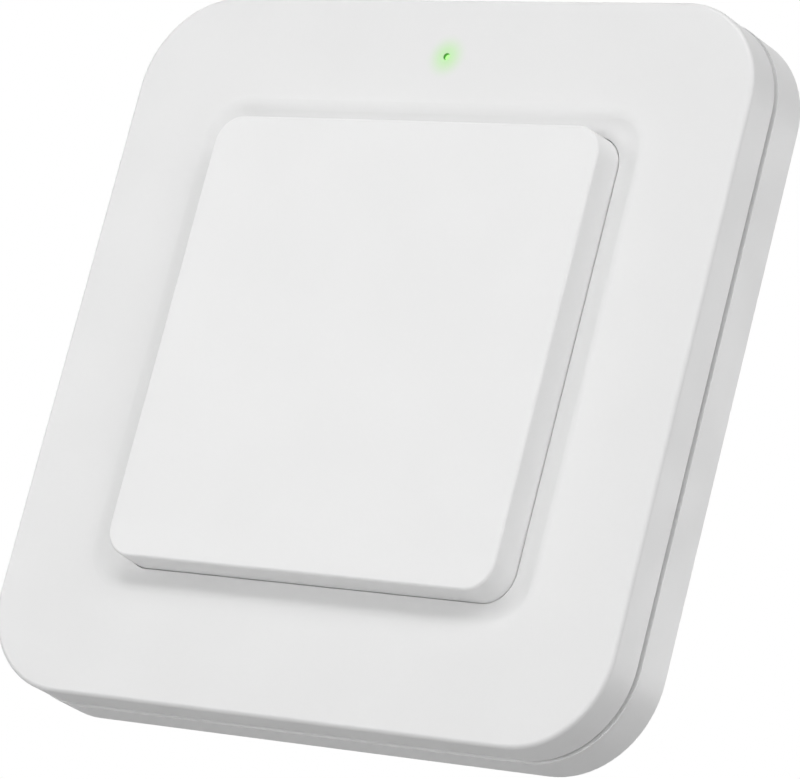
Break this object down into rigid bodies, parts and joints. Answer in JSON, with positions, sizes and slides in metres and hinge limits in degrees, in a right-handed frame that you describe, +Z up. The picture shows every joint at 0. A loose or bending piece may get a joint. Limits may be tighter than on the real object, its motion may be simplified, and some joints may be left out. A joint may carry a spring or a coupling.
{
  "type": "wireless wall switch",
  "caption": "Square wall-mounted radio switch: shallow-dished front plate with a large rocker key and a small status light, coin cell and tactile switches inside.",
  "frame": {"origin": "centre of the wall face, where the rear housing lies on the wall", "axes": "+Z up the wall, -Y out of the wall towards the user, +X to the user's right"},
  "size_m": [0.08, 0.012, 0.08],
  "materials": {
    "white_shell": "fine satin texture",
    "white_key": "fine satin texture",
    "inner_plastic": "moulded, fine texture",
    "black_plastic": "moulded",
    "clear_acrylic": "clear, polished",
    "board_laminate": "solder mask",
    "screw_steel": "zinc plated",
    "tape_foam": "closed-cell foam",
    "cell_steel": "nickel plated",
    "contact_metal": "tin plated",
    "led_body": "clear resin on white",
    "chip_plastic": "moulded epoxy",
    "crystal_can": "gold-tinted lid",
    "antenna_wire": "tinned copper wire",
    "capacitor_ceramic": "sintered",
    "resistor_ceramic": "glazed",
    "plunger_plastic": "moulded"
  },
  "bodies": {
    "housing": {"rear_housing": "white_shell", "front_frame": "white_shell", "key_carrier": "inner_plastic", "battery_holder": "black_plastic", "light_pipe": "clear_acrylic", "circuit_board": "board_laminate", "carrier_screws": "screw_steel", "adhesive_pads": "tape_foam", "coin_cell": "cell_steel", "battery_positive_contact": "contact_metal", "battery_negative_contact": "contact_metal", "status_led": "led_body", "controller_chip": "chip_plastic", "radio_chip": "chip_plastic", "radio_crystal": "crystal_can", "antenna": "antenna_wire", "chip_capacitors": "capacitor_ceramic", "chip_resistors": "resistor_ceramic", "upper_switch_base": "black_plastic", "upper_switch_cover": "screw_steel", "upper_switch_terminals": "contact_metal", "upper_switch_dome": "contact_metal", "lower_switch_base": "black_plastic", "lower_switch_cover": "screw_steel", "lower_switch_terminals": "contact_metal", "lower_switch_dome": "contact_metal"},
    "key": {"key_cap": "white_key", "rocker_cradle": "inner_plastic"},
    "upper_plunger": {"upper_switch_plunger": "plunger_plastic"},
    "lower_plunger": {"lower_switch_plunger": "plunger_plastic"}
  },
  "joints": [
    {"name": "key_tilt", "type": "hinge", "parent": "housing", "child": "key", "pos_m": [0, -0.0069, 0], "axis": [1, 0, 0], "range_deg": [-2, 2], "stiffness_Nm_per_rad": 0.37},
    {"name": "upper_plunger_press", "type": "slide", "parent": "housing", "child": "upper_plunger", "axis": [0, 1, 0], "range_m": [-0.00028, 0.00028], "deforming": ["upper_switch_dome"]},
    {"name": "lower_plunger_press", "type": "slide", "parent": "housing", "child": "lower_plunger", "axis": [0, 1, 0], "range_m": [-0.00028, 0.00028], "deforming": ["lower_switch_dome"]}
  ],
  "couplings": [
    {"joint": "upper_plunger_press", "follows": "key_tilt", "m_per_rad": -0.008},
    {"joint": "lower_plunger_press", "follows": "key_tilt", "m_per_rad": 0.008}
  ]
}
